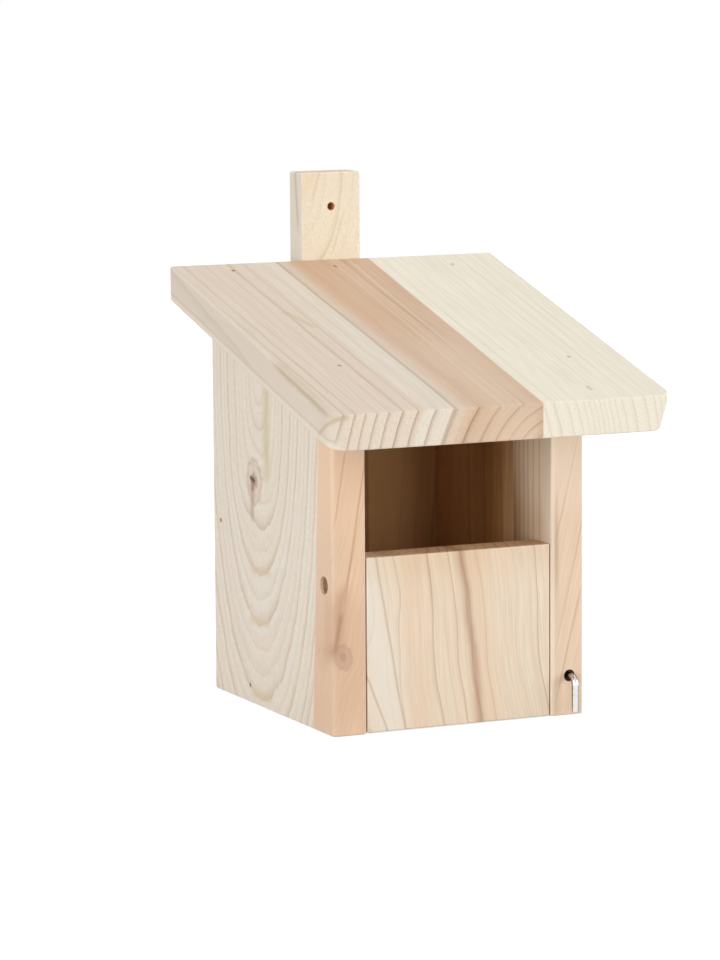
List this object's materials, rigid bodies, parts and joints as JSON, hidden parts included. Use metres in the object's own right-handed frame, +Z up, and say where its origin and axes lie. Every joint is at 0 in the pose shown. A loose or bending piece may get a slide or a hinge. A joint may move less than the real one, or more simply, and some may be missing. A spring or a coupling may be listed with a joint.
{
  "type": "bird nest box",
  "caption": "Open-fronted wooden bird nest box with a sloping roof, a front half panel that swings out on dowels, a turning hook that locks it and a hanging batten at the back.",
  "frame": {"origin": "middle of the body's footprint, on the plane that the box stands on", "axes": "+X to the right seen from the front, +Y to the back, +Z up"},
  "size_m": [0.205, 0.241, 0.2985],
  "materials": {
    "roof_wide_wood": "planed sapwood with a brown heart band",
    "roof_cream_wood": "planed cream softwood",
    "pale_wall_wood": "planed pale softwood",
    "pink_wood": "planed pink heartwood",
    "inner_wood": "planed softwood",
    "panel_wood": "planed cream to tan softwood",
    "batten_wood": "planed cream softwood",
    "dowel_wood": "end grain",
    "plated_wire": "bright zinc plating",
    "brad_steel": "dull steel"
  },
  "bodies": {
    "box": {"roof_left_stave": "roof_wide_wood", "roof_right_stave": "roof_cream_wood", "left_wall_rear_stave": "pale_wall_wood", "left_wall_front_stave": "pink_wood", "right_wall_front_stave": "pink_wood", "right_wall_rear_stave": "inner_wood", "back_wall_left_stave": "inner_wood", "back_wall_right_stave": "inner_wood", "floor_board": "inner_wood", "hanging_batten": "batten_wood", "pivot_dowel_left": "dowel_wood", "pivot_dowel_right": "dowel_wood", "roof_nails_front": "brad_steel", "roof_nails_back": "brad_steel", "left_wall_nails": "brad_steel", "right_wall_nails": "brad_steel", "floor_nails": "brad_steel", "batten_nails": "brad_steel"},
    "panel": {"front_panel": "panel_wood"},
    "latch": {"latch_hook": "plated_wire"}
  },
  "joints": [
    {"name": "panel_swing", "type": "hinge", "parent": "box", "child": "panel", "pos_m": [0, -0.0718, 0.0827], "axis": [-1, 0, 0], "range_deg": [0, 110]},
    {"name": "latch_turn", "type": "hinge", "parent": "box", "child": "latch", "pos_m": [0.0686, -0.083, 0.0224], "axis": [0, 1, 0], "range_deg": [-90, 90]}
  ]
}
